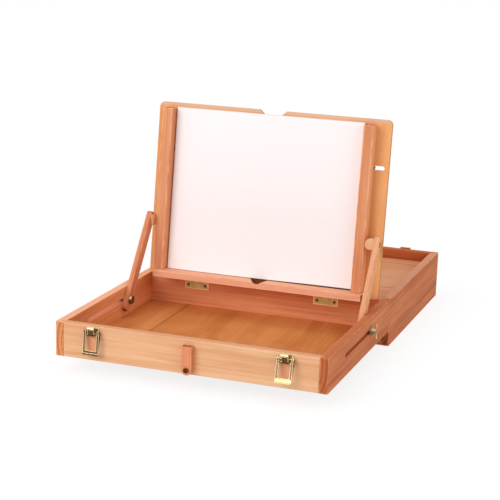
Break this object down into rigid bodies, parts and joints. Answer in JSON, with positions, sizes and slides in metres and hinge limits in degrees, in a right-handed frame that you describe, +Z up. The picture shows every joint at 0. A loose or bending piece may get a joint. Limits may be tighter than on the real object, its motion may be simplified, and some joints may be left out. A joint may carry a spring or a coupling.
{
  "type": "pochade box",
  "caption": "Folding wooden painting box: a deep tray with palette and compartments, a shallow tray hinged to it, and a propped easel board holding a panel.",
  "frame": {"origin": "centre of the deep tray's underside, on the table", "axes": "+X to the painter's right across the box, +Y away from the painter, +Z up"},
  "size_m": [0.4306, 0.6713, 0.348],
  "materials": {
    "beech_walls": "oiled, fine straight grain",
    "beech_sides": "oiled, redder grain",
    "plywood": "oiled veneer",
    "pale_wood": "bare",
    "brass": "plated, polished",
    "steel_bolts": "plated",
    "primed_panel": "primed canvas on board"
  },
  "bodies": {
    "deep_tray": {"deep_tray_front": "beech_walls", "deep_tray_rear": "beech_walls", "deep_tray_left": "beech_sides", "deep_tray_right": "beech_sides", "deep_tray_floor": "plywood", "tray_hinge_deep_leaves": "brass", "keepers": "brass", "palette_runners": "pale_wood", "divider_long": "pale_wood", "dividers_short": "pale_wood"},
    "shallow_tray": {"shallow_tray_front": "beech_walls", "shallow_tray_rear": "beech_walls", "shallow_tray_left": "beech_sides", "shallow_tray_right": "beech_sides", "shallow_tray_floor": "plywood", "tray_hinge_shallow_leaves": "brass", "easel_hinge_wall_leaves": "brass", "latch_bases": "brass", "leg_screw": "brass"},
    "easel": {"easel_board": "plywood", "ledge": "beech_sides", "rail_left": "beech_sides", "rail_bolt_left": "steel_bolts", "pivot_block_left": "pale_wood", "pivot_block_right": "pale_wood", "pivot_screw_left": "steel_bolts", "pivot_screw_right": "steel_bolts", "easel_hinge_board_leaves": "brass"},
    "panel": {"panel": "primed_panel"},
    "rail_right": {"rail_right": "beech_sides", "rail_bolt_right": "steel_bolts"},
    "rail_knob_left": {"rail_knob_left": "brass"},
    "rail_knob_right": {"rail_knob_right": "brass"},
    "prop_leg": {"prop_leg": "beech_sides"},
    "palette": {"palette": "plywood"},
    "arm_left": {"arm_left": "beech_sides", "clamp_nut_left": "brass"},
    "slot_bolt_left": {"slot_bolt_left": "steel_bolts"},
    "wing_nut_left": {"wing_nut_left": "brass"},
    "latch_lever_left": {"latch_lever_left": "brass"},
    "latch_hook_pin_left": {"latch_hook_pin_left": "steel_bolts"},
    "latch_hook_left": {"latch_hook_left": "brass"},
    "arm_right": {"arm_right": "beech_sides", "clamp_nut_right": "brass"},
    "slot_bolt_right": {"slot_bolt_right": "steel_bolts"},
    "wing_nut_right": {"wing_nut_right": "brass"},
    "latch_lever_right": {"latch_lever_right": "brass"},
    "latch_hook_pin_right": {"latch_hook_pin_right": "steel_bolts"},
    "latch_hook_right": {"latch_hook_right": "brass"}
  },
  "joints": [
    {"name": "tray_fold", "type": "hinge", "parent": "deep_tray", "child": "shallow_tray", "pos_m": [0, -0.1627, 0.0762], "axis": [-1, 0, 0], "range_deg": [0, 180]},
    {"name": "easel_fold", "type": "hinge", "parent": "shallow_tray", "child": "easel", "pos_m": [0, -0.1777, 0.0737], "axis": [1, 0, 0], "range_deg": [0, 97]},
    {"name": "arm_left_turn", "type": "hinge", "parent": "easel", "child": "arm_left", "pos_m": [-0.18575, -0.19651, 0.16669], "axis": [-1, 0, 0], "range_deg": [0, 156.66]},
    {"name": "bolt_left_slide", "type": "slide", "parent": "shallow_tray", "child": "slot_bolt_left", "axis": [0, -1, 0], "range_m": [0, 0.12761]},
    {"name": "wing_nut_left_turn", "type": "hinge", "parent": "slot_bolt_left", "child": "wing_nut_left", "pos_m": [-0.206, -0.27553, 0.056], "axis": [1, 0, 0], "continuous": true},
    {"name": "latch_lever_left_turn", "type": "hinge", "parent": "shallow_tray", "child": "latch_lever_left", "pos_m": [-0.1435, -0.4919, 0.0685], "axis": [-1, 0, 0], "range_deg": [-5, 145]},
    {"name": "latch_pin_left_turn", "type": "hinge", "parent": "latch_lever_left", "child": "latch_hook_pin_left", "pos_m": [-0.1435, -0.49179, 0.06397], "axis": [-1, 0, 0], "range_deg": [-145, 5]},
    {"name": "latch_hook_left_swing", "type": "hinge", "parent": "latch_hook_pin_left", "child": "latch_hook_left", "pos_m": [-0.1435, -0.49179, 0.06397], "axis": [-1, 0, 0], "range_deg": [-8, 16]},
    {"name": "arm_right_turn", "type": "hinge", "parent": "easel", "child": "arm_right", "pos_m": [0.18575, -0.19651, 0.16669], "axis": [-1, 0, 0], "range_deg": [0, 156.66]},
    {"name": "bolt_right_slide", "type": "slide", "parent": "shallow_tray", "child": "slot_bolt_right", "axis": [0, -1, 0], "range_m": [0, 0.12761]},
    {"name": "wing_nut_right_turn", "type": "hinge", "parent": "slot_bolt_right", "child": "wing_nut_right", "pos_m": [0.206, -0.27553, 0.056], "axis": [1, 0, 0], "continuous": true},
    {"name": "latch_lever_right_turn", "type": "hinge", "parent": "shallow_tray", "child": "latch_lever_right", "pos_m": [0.1435, -0.4919, 0.0685], "axis": [-1, 0, 0], "range_deg": [-14, 136]},
    {"name": "latch_pin_right_turn", "type": "hinge", "parent": "latch_lever_right", "child": "latch_hook_pin_right", "pos_m": [0.1435, -0.4925, 0.06401], "axis": [-1, 0, 0], "range_deg": [-136, 14]},
    {"name": "latch_hook_right_swing", "type": "hinge", "parent": "latch_hook_pin_right", "child": "latch_hook_right", "pos_m": [0.1435, -0.4925, 0.06401], "axis": [-1, 0, 0], "range_deg": [-8, 16]},
    {"name": "panel_slide", "type": "slide", "parent": "easel", "child": "panel", "axis": [0, 0.1219, 0.9925], "range_m": [0, 0.025]},
    {"name": "rail_right_slide", "type": "slide", "parent": "easel", "child": "rail_right", "axis": [1, 0, 0], "range_m": [-0.0016, 0.0034]},
    {"name": "rail_knob_left_turn", "type": "hinge", "parent": "easel", "child": "rail_knob_left", "pos_m": [-0.1685, -0.14906, 0.2741], "axis": [0, -0.9925, 0.1219], "continuous": true},
    {"name": "rail_knob_right_turn", "type": "hinge", "parent": "rail_right", "child": "rail_knob_right", "pos_m": [0.1563, -0.14906, 0.2741], "axis": [0, -0.9925, 0.1219], "continuous": true},
    {"name": "leg_turn", "type": "hinge", "parent": "shallow_tray", "child": "prop_leg", "pos_m": [0.0017, -0.4925, 0.0342], "axis": [0, 1, 0], "range_deg": [0, 180]},
    {"name": "palette_lift", "type": "slide", "parent": "deep_tray", "child": "palette", "axis": [0, 0, 1], "range_m": [0, 0.008]}
  ],
  "couplings": [
    {"joint": "easel_fold", "follows": "tray_fold", "ratio": 0.53889},
    {"joint": "arm_left_turn", "follows": "tray_fold", "ratio": 0.87035},
    {"joint": "bolt_left_slide", "follows": "tray_fold", "m_per_rad": 0.04062},
    {"joint": "latch_pin_left_turn", "follows": "latch_lever_left_turn", "ratio": -1},
    {"joint": "arm_right_turn", "follows": "tray_fold", "ratio": 0.87035},
    {"joint": "bolt_right_slide", "follows": "tray_fold", "m_per_rad": 0.04062},
    {"joint": "latch_pin_right_turn", "follows": "latch_lever_right_turn", "ratio": -1}
  ]
}
